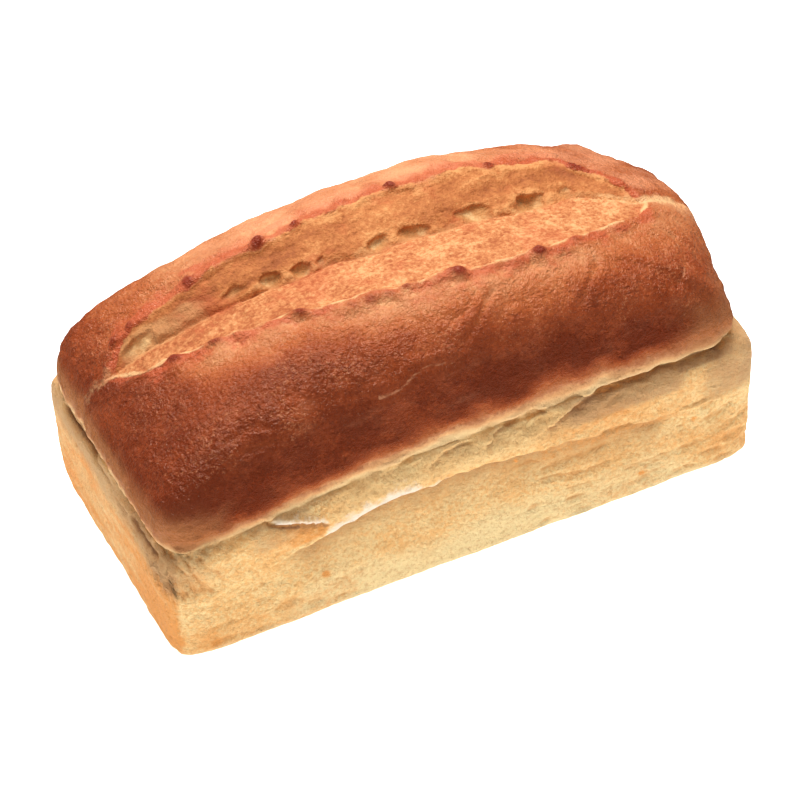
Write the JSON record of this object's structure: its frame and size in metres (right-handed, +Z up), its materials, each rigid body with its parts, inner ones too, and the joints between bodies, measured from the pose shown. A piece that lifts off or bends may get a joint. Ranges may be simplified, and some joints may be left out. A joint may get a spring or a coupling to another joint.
{
  "type": "tin loaf",
  "caption": "Oblong loaf of bread baked in a tin, with straight pale walls, a domed browned crown, one long score along the top and a rolled crust lip over the walls.",
  "frame": {"origin": "centre of the loaf's bounding box on its flat bottom", "axes": "+Z up out of the crown, +X along the loaf towards the end where the seam stands higher, -Y towards the wall with the fold under the crust"},
  "size_m": [0.2399, 0.1236, 0.1119],
  "materials": {
    "crust": "baked bread: satin red-brown crust on the crown, dry golden beige on the walls and in the score"
  },
  "bodies": {
    "root": {"loaf": "crust"}
  },
  "joints": []
}
